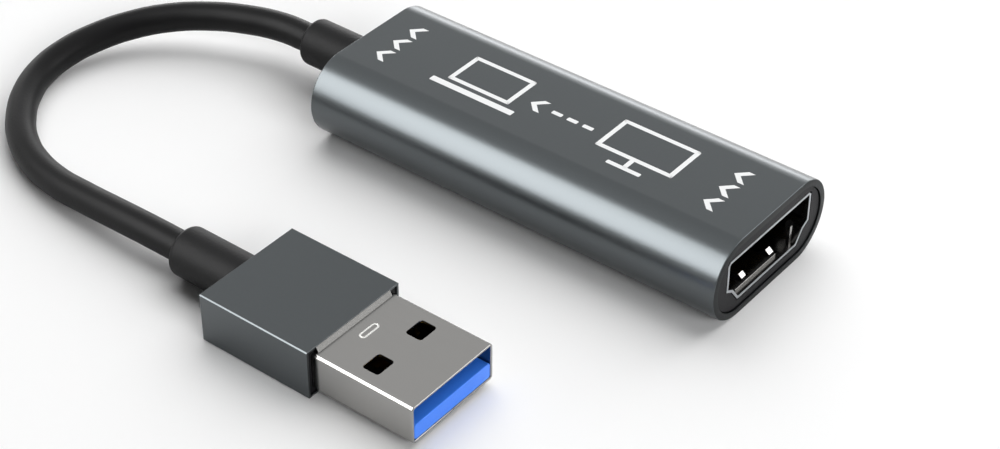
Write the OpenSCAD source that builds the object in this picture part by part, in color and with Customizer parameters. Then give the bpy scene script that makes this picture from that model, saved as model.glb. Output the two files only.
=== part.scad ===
// Video capture box with a short captive cable that ends in a flat type A data plug.
// Millimetres. The origin is the middle of the box's underside. +X points to the video input
// end, +Y away from the plug and +Z up. The box and the plug lie on the same table.

/* [Box] */
// Length of the casing
box_l = 52.6; // [50:0.1:60]
// Width of the casing over its round sides
box_w = 20.6; // [20.4:0.1:24]
// Height of the casing, and diameter of its round sides
box_h = 9.7; // [9.6:0.1:11]
// Wall of the extruded casing
box_wall = 0.8; // [0.6:0.05:0.9]
// Thickness of each end cap
cap_t = 2.4; // [2:0.1:3]
// How far the end caps sit back from the casing's ends
cap_recess = 0.15; // [0.05:0.05:0.4]

/* [Video socket] */
// Width of the socket's shell at its top
socket_w = 15.2; // [14.8:0.1:15.4]
// Width of the socket's shell at its foot
socket_foot_w = 10.9; // [10.4:0.1:11.4]
// Height of the socket's shell
socket_h = 5.8; // [5.6:0.1:6]
// Length of the socket's shell
socket_l = 12; // [11:0.1:12.5]
// Sheet that the socket's shell is folded from
socket_sheet = 0.3; // [0.25:0.05:0.35]
// Thickness of the socket's plastic tongue
socket_tongue_t = 1.6; // [1.4:0.1:1.8]

/* [Circuit board] */
// Thickness of the board
board_t = 1; // [0.8:0.1:1.2]
// Width of the board
board_w = 18.4; // [18:0.1:18.6]
// Length of the board behind the socket
board_l = 29.6; // [29:0.1:31]

/* [Cable] */
// Diameter of the cable
cable_d = 3.4; // [3.2:0.1:3.6]
// Diameter of the strain reliefs
boot_d = 5.5; // [5.2:0.1:5.7]
// Length of each strain relief outside the box and the plug
boot_l = 8.7; // [8:0.1:10]
// Diameter of an insulated wire inside the cable
wire_d = 0.56; // [0.4:0.02:0.6]

/* [Plug] */
// Length of the grip
grip_l = 14; // [13.8:0.1:16]
// Width of the grip
grip_w = 13.5; // [13.2:0.1:15]
// Height of the grip
grip_h = 5.8; // [5.6:0.1:7]
// Wall of the grip's aluminium sleeve
grip_wall = 0.3; // [0.25:0.05:0.35]
// Width of the plug's metal shell
plug_w = 12; // [11.9:0.05:12.1]
// Height of the plug's metal shell
plug_h = 4.5; // [4.4:0.05:4.6]
// How far the metal shell stands out of the grip
plug_out = 12.3; // [11.8:0.1:12.6]
// Sheet that the plug's shell is folded from
plug_sheet = 0.3; // [0.25:0.05:0.35]

/* [Hidden] */
$fn = 64;

// Colours
gun_metal = "#5c6064";
black_plastic = "#2b2b2b";
black_rubber = "#262626";
bright_steel = "#c9ccce";
gold = "#d9b45a";
board_green = "#1f5a3c";
chip_black = "#1d1e20";
lead_tin = "#b9bdc0";
tongue_blue = "#3f7ce8";
ceramic_tan = "#a58a6a";
resistor_black = "#303236";
wire_red = "#b02a24";
wire_white = "#e8e8e4";

// Room between pieces that are pushed together
fit_gap = 0.05;
// Small overlap that joins the shapes of one piece, and lets a cut run past a face
joint = 0.1;

// Box
mid_z = box_h / 2;
cap_face_x = box_l / 2 - cap_recess;
rail_l = box_l - 2 * (cap_recess + cap_t + joint);
rail_h = 0.6;
rail_tip_y = 8.3;

// Video socket, in its own frame: X is 0 at the mouth, and Z is 0 at mid-height
socket_z = mid_z - 0.1;
socket_corner = 0.35;
shoulder_top = -0.8;
shoulder_foot = -1.35;
shoulder_w = 13.2;
finger_y = 2.5;
finger_w = 0.75;
finger_sheet = 0.2;
finger_path = [[-8.6, 0], [-6.5, 0], [-1.65, -0.5], [-1.2, -0.08]];
side_finger_z = 0.1;
side_finger_w = 1;
side_finger_back = 1.2;
window_x = [-8, -0.8];
window_margin = 0.35;
tab_l = 1.2;
tab_reach_y = 8.2;
tab_x = [-6.6, -10.2];
housing_l = 3;
tongue_recess = 2.2;
socket_tongue_w = 11.4;
contact_t = 0.15;
contact_w = 0.45;
contact_pitch = 1;
contact_front = 0.4;
contact_step = [0.1, 0.7];
contact_tail = 2.2;
upper_contacts = 10;
lower_contacts = 9;

// Circuit board
board_top = mid_z + board_t / 2;
board_foot = mid_z - board_t / 2;
board_gap = 0.95;
board_front = cap_face_x - socket_l - board_gap;
board_rear = board_front - board_l;
board_ear_l = 7.6;
board_notch_w = socket_w + 0.5;
package_gap = 0.15;

// Parts on the board: [x, y] from the middle of the box, and [length, width, height]
capture_chip_at = [1.2, 0];
capture_chip_size = [9, 9, 0.9];
memory_at = [-8.2, 4.6];
memory_size = [4.9, 3.9, 1.45];
memory_pitch = 1.27;
crystal_at = [-6.6, -0.6];
crystal_size = [3.2, 2.5, 0.8];
regulator_at = [[-7.6, -6], [0.2, -6.4]];
regulator_size = [2.9, 1.6, 1.1];
regulator_pitch = 0.95;
lead_t = 0.2;
lead_w = 0.4;
lead_bends = [0.35, 0.55, 1.05];
lead_rise_share = 0.45;
inductor_at = [5.2, -6.6];
inductor_size = [3, 3, 1.4];
surge_at = [for (i = [0:3]) [8.6, -4.2 + 2.8 * i]];
surge_size = [1, 2.5, 0.55];
capacitor_at = [
    [-4.4, 2.4], [-4.4, 3.6], [-4.4, -2.6], [-4.4, -3.8], [-1.2, 5.6], [0.6, 5.6], [2.4, 5.6],
    [4.2, 5.6], [-3.4, -5.6], [-3.4, -6.8], [2.6, -5.6], [2.6, -7.4], [-11, -5.4], [-11, -6.8]
];
capacitor_size = [1, 0.5, 0.5];
resistor_at = concat(
    [for (i = [0:7]) [10.6, -4.2 + 1.2 * i]],
    [[-12.4, 5.4], [-12.4, 6.6], [-11, 1.4], [-11, 0.2]]
);
resistor_size = [1, 0.5, 0.35];

// Wires: they leave the cable's end on a circle and fan out to their pads
wire_circle_r = 1.05;
wire_step = 45;
wire_start = 22.5;
wire_rings = 8;
upper_wires = 4;
last_wire = 7;
wire_lap = 0.4;
drain_d = 0.3;
box_pad_x = board_rear + 1;
box_pad_y = [3.3, 1.1, -1.1, -3.3];

// Strain reliefs
neck_d = 4.4;
flange_d = 6.4;
flange_t = 1.2;
jacket_past_flange = 0.6;
boot_round = 0.9;
box_cable_end_x = -box_l / 2 + cap_recess + cap_t + flange_t + jacket_past_flange;

// Plug, in its own frame: X is 0 at the grip's front face, Y and Z are 0 on its axis
plug_at = [1.2, -34.8, grip_h / 2];
core_recess = 0.15;
core_rear_wall = 1.2;
plug_corner = 0.5;
plug_in = 6.5;
lock_window = [2, 2.5];
lock_window_x = 5.8;
lock_window_y = 3.15;
stamp_x = 1.95;
stamp_size = [0.75, 2.5];
stamp_depth = 0.12;
seam_w = 0.1;
plug_tongue_t = 1.8;
plug_tongue_recess = 0.05;
plug_tongue_corner = 0.3;
plug_block_l = 6.2;
plug_bed_z = -plug_h / 2 + plug_sheet + fit_gap;
plug_tongue_top = plug_bed_z + plug_tongue_t;
plug_tongue_w = plug_w - 2 * (plug_sheet + fit_gap);
power_contact_y = [3.5, 1, -1, -3.5];
power_contact_w = 1;
power_contact_start = 2.4;
fast_contact_y = [4, 2, 0, -2, -4];
fast_contact_w = 0.6;
fast_tail_z = 1.15;
fast_contact_path = [[-8, fast_tail_z], [1, fast_tail_z], [3.4, 0.55], [4.2, 0.75], [4.8, 0.6]];
plug_contact_t = 0.15;
plug_tail_x = -8;
plug_cable_end_x = -10.8;
crimp_l = 1.6;
crimp_d = 4.2;

// The cable's lie, from the box's strain relief to the plug's: it sags to the table between them
cable_route = [
    [-box_l / 2 - boot_l, 0, mid_z],
    [-39.6, -0.2, 4.85],
    [-44, -1.4, 4.75],
    [-48.3, -3.2, 4.4],
    [-52.2, -5.7, 3.9],
    [-55.3, -8.8, 3.25],
    [-57.4, -12.6, 2.65],
    [-58.3, -16.8, 2.2],
    [-57.9, -20.9, 1.85],
    [-56.2, -24.6, 1.75],
    [-53.4, -28.1, 1.75],
    [-49.9, -31, 1.75],
    [-45.8, -33, 1.75],
    [-41.2, -34.1, 1.9],
    [-36.5, -34.5, 2.25],
    [-31.9, -34.7, 2.6],
    [-27.2, -34.8, 2.85],
    [plug_at[0] - grip_l - boot_l, plug_at[1], plug_at[2]]
];
cable_sides = 8;
wire_sides = 6;

// Vectors
function unit(v) = v / norm(v);
function left(v) = [-v[1], v[0]];

// A closed outline moved inwards by d, for points that run anticlockwise
function inset(points, d) = [
    for (i = [0:len(points) - 1])
        let (
            n = len(points),
            p = left(unit(points[i] - points[(i + n - 1) % n])),
            q = left(unit(points[(i + 1) % n] - points[i]))
        )
        points[i] + d * (p + q) / (1 + p * q)
];

// One side of a strip that follows a bent line, d to the left of it
function strip_side(path, d) = [
    for (i = [0:len(path) - 1])
        let (
            last = len(path) - 1,
            p = left(unit(path[max(i, 1)] - path[max(i, 1) - 1])),
            q = left(unit(path[min(i, last - 1) + 1] - path[min(i, last - 1)]))
        )
        path[i] + d * (p + q) / (1 + p * q)
];
function reversed(list) = [for (i = [len(list) - 1:-1:0]) list[i]];
function strip(path, t) = concat(strip_side(path, -t / 2), reversed(strip_side(path, t / 2)));

// Rings of points round a line in space
function heading(path, i) =
    let (last = len(path) - 1)
    i == 0 || i == last
        ? unit([sign(path[max(i, 1)][0] - path[max(i, 1) - 1][0]), 0, 0])
        : unit(unit(path[i + 1] - path[i]) + unit(path[i] - path[i - 1]));
function ring(centre, along, d, sides) =
    let (across = unit(cross(along, [0, 0, 1])), upward = cross(across, along))
    [
        for (k = [0:sides - 1])
            let (turn = 360 * (k + 0.5) / sides)
            centre + d / 2 * (cos(turn) * across + sin(turn) * upward)
    ];
function tube_sides(rings, sides) = [
    for (i = [0:rings - 2], k = [0:sides - 1])
        let (a = i * sides + k, b = i * sides + (k + 1) % sides)
        each [[a, b, b + sides], [a, b + sides, a + sides]]
];

// A smooth line between two points that leaves and arrives along X
function bezier(a, b, c, d, t) =
    pow(1 - t, 3) * a + 3 * pow(1 - t, 2) * t * b + 3 * (1 - t) * t * t * c + pow(t, 3) * d;
function fan(from, to) =
    let (lead = [(to[0] - from[0]) / 2, 0, 0])
    [for (i = [0:wire_rings]) bezier(from, from + lead, to - lead, to, i / wire_rings)];

// Where a wire leaves the cable's end, seen along X
function wire_exit(i) = wire_circle_r * [cos(wire_start + wire_step * i), sin(wire_start + wire_step * i)];

// The socket's outline, wide at the top, with a shoulder on each side, anticlockwise
function socket_right() = [
    [socket_foot_w / 2, -socket_h / 2],
    [shoulder_w / 2, shoulder_foot],
    [socket_w / 2, shoulder_top],
    [socket_w / 2, socket_h / 2 - socket_corner],
    [socket_w / 2 - socket_corner, socket_h / 2]
];
function socket_outline() = concat(socket_right(), [for (p = reversed(socket_right())) [-p[0], p[1]]]);

// Shapes that several pieces share
module stadium(w, h) {
    square([w - h, h], center = true);
    for (side = [-1, 1]) {
        translate([side * (w - h) / 2, 0]) circle(d = h);
    }
}

module rounded(w, h, r) {
    square([w - 2 * r, h], center = true);
    square([w, h - 2 * r], center = true);
    for (u = [-1, 1], v = [-1, 1]) {
        translate([u * (w / 2 - r), v * (h / 2 - r)]) circle(r);
    }
}

// Runs a flat shape along +X, with its own X along Y and its own Y along Z
module along_x(l) {
    rotate([90, 0, 90]) linear_extrude(l) children();
}

module tube(path, d, sides) {
    rings = len(path);
    points = [for (i = [0:rings - 1]) each ring(path[i], heading(path, i), d, sides)];
    start = [for (k = [sides - 1:-1:0]) k];
    finish = [for (k = [0:sides - 1]) (rings - 1) * sides + k];
    polyhedron(points, concat([start], tube_sides(rings, sides), [finish]));
}

// A bent metal strip: the line is in X and Z, and the strip's width is along Y
module blade(path, t, w) {
    rotate([90, 0, 0]) linear_extrude(w, center = true) polygon(strip(path, t));
}

// A block that stands on the board's top
module on_board(at, size) {
    translate([at[0] - size[0] / 2, at[1] - size[1] / 2, board_top]) cube(size);
}

// Bent leads along both long sides of a package, pitch apart along X
module gull_leads(at, size, count, pitch) {
    rise = size[2] * lead_rise_share;
    foot = lead_t / 2;
    path = [[0, rise], [lead_bends[0], rise], [lead_bends[1], foot], [lead_bends[2], foot]];
    for (side = [0, 180], i = [0:count - 1]) {
        translate([at[0], at[1], board_top])
            rotate([0, 0, side + 90])
                translate([size[1] / 2, (i - (count - 1) / 2) * pitch, 0])
                    blade(path, lead_t, lead_w);
    }
}

module at_socket() {
    translate([cap_face_x, 0, socket_z]) children();
}

module at_plug() {
    translate(plug_at) children();
}

// A moulded sleeve on the cable, from its front shoulder at X 0 back along -X, with a neck in front
module strain_relief(neck_l, flange) {
    outline = [
        [cable_d / 2 + fit_gap, neck_l + (flange ? flange_t : 0)],
        [(flange ? flange_d : neck_d) / 2, neck_l + (flange ? flange_t : 0)],
        [(flange ? flange_d : neck_d) / 2, neck_l],
        [neck_d / 2, neck_l],
        [neck_d / 2, 0],
        [boot_d / 2, 0],
        [boot_d / 2, -boot_l + boot_round],
        for (turn = [22.5:22.5:90])
            [boot_d / 2 - boot_round * (1 - cos(turn)), -boot_l + boot_round * (1 - sin(turn))],
        [cable_d / 2 + fit_gap, -boot_l]
    ];
    rotate([0, 90, 0]) rotate_extrude() polygon(outline);
}

// Casing: an extruded tube with two pairs of rails that hold the board
module body_shell() {
    color(gun_metal) {
        translate([-box_l / 2, 0, mid_z])
            along_x(box_l)
                difference() {
                    stadium(box_w, box_h);
                    stadium(box_w - 2 * box_wall, box_h - 2 * box_wall);
                }
        rail_root_y = box_w / 2 - box_wall;
        rail_z = board_t / 2 + fit_gap;
        for (side = [-1, 1], up = [-1, 1]) {
            translate([
                -rail_l / 2,
                side * (rail_tip_y + rail_root_y) / 2 - (rail_root_y - rail_tip_y) / 2,
                mid_z + up * (rail_z + rail_h / 2) - rail_h / 2
            ])
                cube([rail_l, rail_root_y - rail_tip_y, rail_h]);
        }
    }
}

module cap_outline() {
    stadium(box_w - 2 * (box_wall + fit_gap), box_h - 2 * (box_wall + fit_gap));
}

module input_end_cap() {
    color(black_plastic)
        translate([cap_face_x - cap_t, 0, mid_z])
            along_x(cap_t)
                difference() {
                    cap_outline();
                    translate([0, socket_z - mid_z]) polygon(inset(socket_outline(), -fit_gap));
                }
}

module output_end_cap() {
    color(black_plastic)
        translate([-cap_face_x, 0, mid_z])
            difference() {
                along_x(cap_t) cap_outline();
                translate([-joint, 0, 0])
                    rotate([0, 90, 0]) cylinder(h = cap_t + 2 * joint, d = neck_d + 2 * fit_gap);
            }
}

// Socket shell: a folded tube with spring fingers in its roof, floor and sides, and feet on the board
module video_socket_shell() {
    window_l = window_x[1] - window_x[0];
    finger_z = socket_h / 2 - socket_sheet / 2;
    side_finger_y = socket_w / 2 - socket_sheet / 2;
    window_w = finger_w + 2 * window_margin;
    side_window_w = side_finger_w + 2 * window_margin;
    tab_root_y = socket_w / 2 - socket_sheet;
    color(bright_steel)
        at_socket() {
            difference() {
                translate([-socket_l, 0, 0])
                    along_x(socket_l)
                        difference() {
                            polygon(socket_outline());
                            polygon(inset(socket_outline(), socket_sheet));
                        }
                for (side = [-1, 1], up = [-1, 1]) {
                    translate([window_x[0], side * finger_y - window_w / 2, up * finger_z - socket_sheet])
                        cube([window_l, window_w, 2 * socket_sheet]);
                }
                for (side = [-1, 1]) {
                    translate([
                        window_x[0],
                        side * side_finger_y - socket_sheet,
                        side_finger_z - side_window_w / 2
                    ])
                        cube([window_l, 2 * socket_sheet, side_window_w]);
                }
            }
            for (side = [-1, 1]) {
                translate([0, side * finger_y, finger_z]) blade(finger_path, finger_sheet, finger_w);
                translate([0, side * finger_y, -finger_z])
                    mirror([0, 0, 1]) blade(finger_path, finger_sheet, finger_w);
                translate([-side_finger_back, side * side_finger_y, side_finger_z])
                    rotate([-90 * side, 0, 0]) blade(finger_path, finger_sheet, side_finger_w);
                for (x = tab_x) {
                    translate([
                        x - tab_l / 2,
                        side > 0 ? tab_root_y : -tab_reach_y,
                        board_top - socket_z
                    ])
                        cube([tab_l, tab_reach_y - tab_root_y, socket_sheet]);
                }
            }
        }
}

// The socket's contacts: strips along the tongue, stepped to the board's face behind it
module socket_contact(up) {
    strip_z = up * (socket_tongue_t + contact_t) / 2;
    pad_z = (up > 0 ? board_top : board_foot) - socket_z + up * contact_t / 2;
    blade([
        [-tongue_recess - contact_front, strip_z],
        [-socket_l - contact_step[0], strip_z],
        [-socket_l - contact_step[1], pad_z],
        [-socket_l - contact_tail, pad_z]
    ], contact_t, contact_w);
}

module contact_row(count) {
    for (i = [0:count - 1]) {
        translate([0, (i - (count - 1) / 2) * contact_pitch, 0]) children();
    }
}

// The socket's housing closes the shell's rear, with one opening for the tongue and its contacts
module video_socket_housing() {
    opening = [socket_tongue_w + 2 * fit_gap, socket_tongue_t + 2 * (contact_t + fit_gap)];
    color(black_plastic)
        at_socket()
            translate([-socket_l, 0, 0])
                along_x(housing_l)
                    difference() {
                        polygon(inset(socket_outline(), socket_sheet + fit_gap));
                        square(opening, center = true);
                    }
}

module video_socket_tongue() {
    color(black_plastic)
        at_socket()
            translate([-socket_l, -socket_tongue_w / 2, -socket_tongue_t / 2])
                cube([socket_l - tongue_recess, socket_tongue_w, socket_tongue_t]);
}

module video_socket_contacts() {
    color(gold)
        at_socket() {
            contact_row(upper_contacts) socket_contact(1);
            contact_row(lower_contacts) socket_contact(-1);
        }
}

// Board: its front end is notched for the socket, which stands between two ears
module circuit_board() {
    color(board_green)
        difference() {
            translate([board_rear, -board_w / 2, board_foot])
                cube([board_l + board_ear_l, board_w, board_t]);
            translate([board_front, -board_notch_w / 2, board_foot - joint])
                cube([board_ear_l + joint, board_notch_w, board_t + 2 * joint]);
        }
}

module capture_chip() {
    color(chip_black) on_board(capture_chip_at, capture_chip_size);
}

module raised_package(at, size) {
    translate([0, 0, package_gap]) on_board(at, [size[0], size[1], size[2] - package_gap]);
}

module memory_chip() {
    color(chip_black) raised_package(memory_at, memory_size);
}

module memory_chip_leads() {
    color(lead_tin) gull_leads(memory_at, memory_size, 4, memory_pitch);
}

module crystal() {
    color(lead_tin) on_board(crystal_at, crystal_size);
}

module voltage_regulators() {
    color(chip_black) for (at = regulator_at) raised_package(at, regulator_size);
}

module regulator_leads() {
    color(lead_tin) for (at = regulator_at) gull_leads(at, regulator_size, 3, regulator_pitch);
}

module power_inductor() {
    color(chip_black) on_board(inductor_at, inductor_size);
}

module surge_arrays() {
    color(chip_black) for (at = surge_at) on_board(at, surge_size);
}

module chip_capacitors() {
    color(ceramic_tan) for (at = capacitor_at) on_board(at, capacitor_size);
}

module chip_resistors() {
    color(resistor_black) for (at = resistor_at) on_board(at, resistor_size);
}

// Wires from the cable's end to the board: the upper four to its top, the lower four underneath
module box_wire(i) {
    exit = wire_exit(i);
    upper = i < upper_wires;
    lift = wire_d / 2 + fit_gap;
    pad_z = upper ? board_top + lift : board_foot - lift;
    pad_y = upper ? box_pad_y[i] : box_pad_y[last_wire - i];
    from = [box_cable_end_x, exit[0], mid_z + exit[1]];
    tube(fan(from, [box_pad_x, pad_y, pad_z]), wire_d, wire_sides);
}

module box_power_wires() {
    color(wire_red) for (i = [0, 3]) box_wire(i);
}

module box_signal_wires() {
    color(wire_white) for (i = [1, 2, 4, 5, 6, 7]) box_wire(i);
}

module box_drain_wire() {
    pad_z = board_top + drain_d / 2 + fit_gap;
    color(lead_tin)
        tube(fan([box_cable_end_x, 0, mid_z], [box_pad_x, 0, pad_z]), drain_d, wire_sides);
}

// The jacket's end inside the box, from the strain relief's rear end
module box_cable_end() {
    rear_x = cable_route[0][0];
    color(black_rubber)
        translate([rear_x, 0, mid_z])
            rotate([0, 90, 0]) cylinder(h = box_cable_end_x - rear_x, d = cable_d);
}

module box_strain_relief() {
    color(black_rubber)
        translate([-box_l / 2, 0, mid_z]) strain_relief(cap_recess + cap_t + fit_gap, true);
}

module data_cable() {
    color(black_rubber) tube(cable_route, cable_d, cable_sides);
}

module plug_strain_relief() {
    color(black_rubber)
        at_plug() translate([-grip_l, 0, 0]) strain_relief(core_recess + core_rear_wall, false);
}

module plug_cable_end() {
    color(black_rubber)
        at_plug()
            translate([-grip_l - boot_l, 0, 0])
                rotate([0, 90, 0]) cylinder(h = grip_l + boot_l + plug_cable_end_x, d = cable_d);
}

// Steel ring pressed over the jacket's end inside the plug
module plug_crimp_ring() {
    color(lead_tin)
        at_plug()
            translate([plug_cable_end_x - crimp_l, 0, 0])
                rotate([0, 90, 0])
                    difference() {
                        cylinder(h = crimp_l, d = crimp_d);
                        translate([0, 0, -joint])
                            cylinder(h = crimp_l + 2 * joint, d = cable_d + 2 * fit_gap);
                    }
}

// Wires from the cable's end to the contacts' tails: the upper four to the sprung contacts
module plug_wire(i) {
    exit = wire_exit(i);
    upper = i < upper_wires;
    lift = wire_d / 2 + fit_gap;
    fast_y = [for (y = fast_contact_y) if (y != 0) y];
    tail_y = upper ? fast_y[i] : power_contact_y[last_wire - i];
    tail_z = upper ? fast_tail_z + plug_contact_t / 2 + lift : plug_tongue_top - lift;
    from = [plug_cable_end_x, exit[0], exit[1]];
    tube(fan(from, [plug_tail_x + wire_lap, tail_y, tail_z]), wire_d, wire_sides);
}

module plug_power_wires() {
    color(wire_red) at_plug() for (i = [4, 7]) plug_wire(i);
}

module plug_signal_wires() {
    color(wire_white) at_plug() for (i = [0, 1, 2, 3, 5, 6]) plug_wire(i);
}

module plug_drain_wire() {
    tail = [plug_tail_x + wire_lap, 0, fast_tail_z + (plug_contact_t + drain_d) / 2 + fit_gap];
    color(lead_tin)
        at_plug() tube(fan([plug_cable_end_x, 0, 0], tail), drain_d, wire_sides);
}

// Grip: a thin aluminium sleeve, open at both ends
module plug_grip() {
    color(gun_metal)
        at_plug()
            translate([-grip_l, 0, 0])
                along_x(grip_l)
                    difference() {
                        square([grip_w, grip_h], center = true);
                        square([grip_w - 2 * grip_wall, grip_h - 2 * grip_wall], center = true);
                    }
}

// Core: fills the sleeve, with a pocket for the shell and the wires, and a bore for the strain relief
module plug_core() {
    core_l = grip_l - 2 * core_recess;
    core_w = grip_w - 2 * (grip_wall + fit_gap);
    core_h = grip_h - 2 * (grip_wall + fit_gap);
    color(black_plastic)
        at_plug()
            difference() {
                translate([-grip_l + core_recess, 0, 0])
                    along_x(core_l) square([core_w, core_h], center = true);
                translate([-grip_l + core_recess + core_rear_wall, 0, 0])
                    along_x(core_l)
                        rounded(plug_w + 2 * fit_gap, plug_h + 2 * fit_gap, plug_corner + fit_gap);
                translate([-grip_l, 0, 0])
                    rotate([0, 90, 0])
                        cylinder(h = core_recess + core_rear_wall + joint, d = neck_d + 2 * fit_gap);
            }
}

// Plug shell: a folded tube with lock windows above and below, a stamped mark and a seam underneath
module plug_shell() {
    inner_w = plug_w - 2 * plug_sheet;
    inner_h = plug_h - 2 * plug_sheet;
    window_z = plug_h / 2 - plug_sheet / 2;
    window_cut = [lock_window[0], lock_window[1], plug_sheet + 2 * joint];
    color(bright_steel)
        at_plug()
            difference() {
                translate([-plug_in, 0, 0])
                    along_x(plug_in + plug_out)
                        difference() {
                            rounded(plug_w, plug_h, plug_corner);
                            rounded(inner_w, inner_h, plug_corner - plug_sheet / 2);
                        }
                for (side = [-1, 1], up = [-1, 1]) {
                    translate([lock_window_x, side * lock_window_y, up * window_z])
                        cube(window_cut, center = true);
                }
                translate([stamp_x, 0, plug_h / 2 - stamp_depth])
                    rotate([0, 0, 90]) linear_extrude(2 * stamp_depth) stadium(stamp_size[1], stamp_size[0]);
                translate([-plug_in - joint, -seam_w / 2, -plug_h / 2 - joint])
                    cube([plug_in + plug_out + 2 * joint, seam_w, plug_sheet + 2 * joint]);
            }
}

// The tongue's section lies on the shell's floor, and its corners follow the shell's
module tongue_outline() {
    translate([0, plug_bed_z + plug_tongue_t / 2])
        rounded(plug_tongue_w, plug_tongue_t, plug_tongue_corner);
}

module plug_tongue() {
    tongue_l = plug_in + plug_out - plug_tongue_recess;
    block_h = plug_h - 2 * (plug_sheet + fit_gap);
    slot_h = plug_contact_t + 2 * fit_gap;
    color(tongue_blue)
        at_plug()
            difference() {
                union() {
                    translate([-plug_in, 0, 0]) along_x(tongue_l) tongue_outline();
                    translate([-plug_in, 0, 0])
                        along_x(plug_block_l) rounded(plug_tongue_w, block_h, plug_tongue_corner);
                }
                for (y = power_contact_y) {
                    translate([
                        -plug_in - joint,
                        y - power_contact_w / 2 - fit_gap,
                        plug_tongue_top
                    ])
                        cube([plug_block_l + 2 * joint, power_contact_w + 2 * fit_gap, slot_h]);
                }
                for (y = fast_contact_y) {
                    translate([
                        -plug_in - joint,
                        y - fast_contact_w / 2 - fit_gap,
                        fast_tail_z - slot_h / 2
                    ])
                        cube([plug_block_l + 2 * joint, fast_contact_w + 2 * fit_gap, slot_h]);
                }
            }
}

module plug_power_contacts() {
    color(gold)
        at_plug()
            for (y = power_contact_y) {
                translate([plug_tail_x, y - power_contact_w / 2, plug_tongue_top])
                    cube([plug_out - power_contact_start - plug_tail_x, power_contact_w, plug_contact_t]);
            }
}

module plug_fast_contacts() {
    color(gold)
        at_plug()
            for (y = fast_contact_y) {
                translate([0, y, 0]) blade(fast_contact_path, plug_contact_t, fast_contact_w);
            }
}

body_shell();
input_end_cap();
output_end_cap();
video_socket_shell();
video_socket_housing();
video_socket_tongue();
video_socket_contacts();
circuit_board();
capture_chip();
memory_chip();
memory_chip_leads();
crystal();
voltage_regulators();
regulator_leads();
power_inductor();
surge_arrays();
chip_capacitors();
chip_resistors();
box_cable_end();
box_power_wires();
box_signal_wires();
box_drain_wire();
box_strain_relief();
data_cable();
plug_strain_relief();
plug_cable_end();
plug_crimp_ring();
plug_power_wires();
plug_signal_wires();
plug_drain_wire();
plug_grip();
plug_core();
plug_shell();
plug_tongue();
plug_power_contacts();
plug_fast_contacts();
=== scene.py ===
"""Looks of a video capture box, modelled round its CAD frame.

The casing, end caps, socket, cable, strain reliefs and plug are modelled here over their CAD
solids. What lies inside the box and the plug keeps its CAD shape and gets its finish.
"""

import math

import bmesh
import bpy
from bpy.props import FloatProperty, FloatVectorProperty, PointerProperty
from mathutils import Matrix, Vector


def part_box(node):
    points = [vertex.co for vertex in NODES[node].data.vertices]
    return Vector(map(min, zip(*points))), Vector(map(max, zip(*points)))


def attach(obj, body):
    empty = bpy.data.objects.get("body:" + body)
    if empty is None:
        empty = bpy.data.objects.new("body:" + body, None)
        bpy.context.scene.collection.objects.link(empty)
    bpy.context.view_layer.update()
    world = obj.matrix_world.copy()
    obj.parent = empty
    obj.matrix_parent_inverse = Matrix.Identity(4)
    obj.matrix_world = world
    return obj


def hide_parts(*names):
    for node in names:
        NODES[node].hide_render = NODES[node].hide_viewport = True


bl_info = {
    "name": "Video Capture Box",
    "version": (1, 0, 0),
    "blender": (4, 5, 0),
    "location": "3D View > Sidebar > Capture Box",
    "description": "Models and finishes a video capture box round its CAD frame",
    "category": "Object",
}

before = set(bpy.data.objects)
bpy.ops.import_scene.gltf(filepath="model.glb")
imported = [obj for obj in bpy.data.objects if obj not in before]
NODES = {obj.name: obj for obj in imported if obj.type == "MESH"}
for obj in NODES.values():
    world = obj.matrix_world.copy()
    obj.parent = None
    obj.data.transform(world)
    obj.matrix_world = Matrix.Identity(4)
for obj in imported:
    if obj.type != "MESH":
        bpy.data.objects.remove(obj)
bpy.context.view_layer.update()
MM = 0.001

# How finely round shapes are drawn. Sides of 4n + 2 leave a flat facet at the top and bottom
ROUND_SIDES = 90
SLEEVE_SIDES = 64
CABLE_STEPS = 8
# Points that are closer than this are the same point
MERGE = 0.00001 * MM
# Loose triangles of a CAD node are merged within this distance, and made one face below this turn
CAD_MERGE = 0.001 * MM
CAD_FLAT = math.radians(1)
# Edges that turn more than this stay sharp
CREASE = math.radians(40)
# Faces look along an axis, and edges run along it, from this share of their direction
ALIGNED = 0.9
# Room that a cut leaves round what goes through it
FIT_GAP = 0.05 * MM

# The cable's lie in millimetres, from the box's strain relief to the plug's
CABLE_ROUTE = [
    (-35, 0, 4.85),
    (-39.6, -0.2, 4.85),
    (-44, -1.4, 4.75),
    (-48.3, -3.2, 4.4),
    (-52.2, -5.7, 3.9),
    (-55.3, -8.8, 3.25),
    (-57.4, -12.6, 2.65),
    (-58.3, -16.8, 2.2),
    (-57.9, -20.9, 1.85),
    (-56.2, -24.6, 1.75),
    (-53.4, -28.1, 1.75),
    (-49.9, -31, 1.75),
    (-45.8, -33, 1.75),
    (-41.2, -34.1, 1.9),
    (-36.5, -34.5, 2.25),
    (-31.9, -34.7, 2.6),
    (-27.2, -34.8, 2.85),
    (-21.5, -34.8, 2.9),
]

# Raised forms on the floor of the socket's mouth in millimetres: left side, right side and height
SOCKET_BEAD = (-5.05, 2.35, 0.35)
SPRING_POST = (4.9, 5.3, 2.2)

# Places of the printed symbols in millimetres: along the casing, or along and across it
CHEVRON_ROWS = (-21.6, 21.2)
ARROW_HEAD = -2.6
SCREEN = (10.4, 0.9)
SCREEN_FOOT = (10.4, -3.5)
COMPUTER = (-9.8, 0.7)
KEYBOARD = (-9.8, -2.9)

# The room in reflections: places from the front, 0, to the back, 1, and their greys
ROOM_GREYS = ((0.0, 0.25), (0.3, 0.3), (0.5, 0.95), (0.8, 0.77), (0.92, 1.0))
WHITE = (1, 1, 1, 1)
# The floor's side in metres
FLOOR_SIDE = 4


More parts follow.
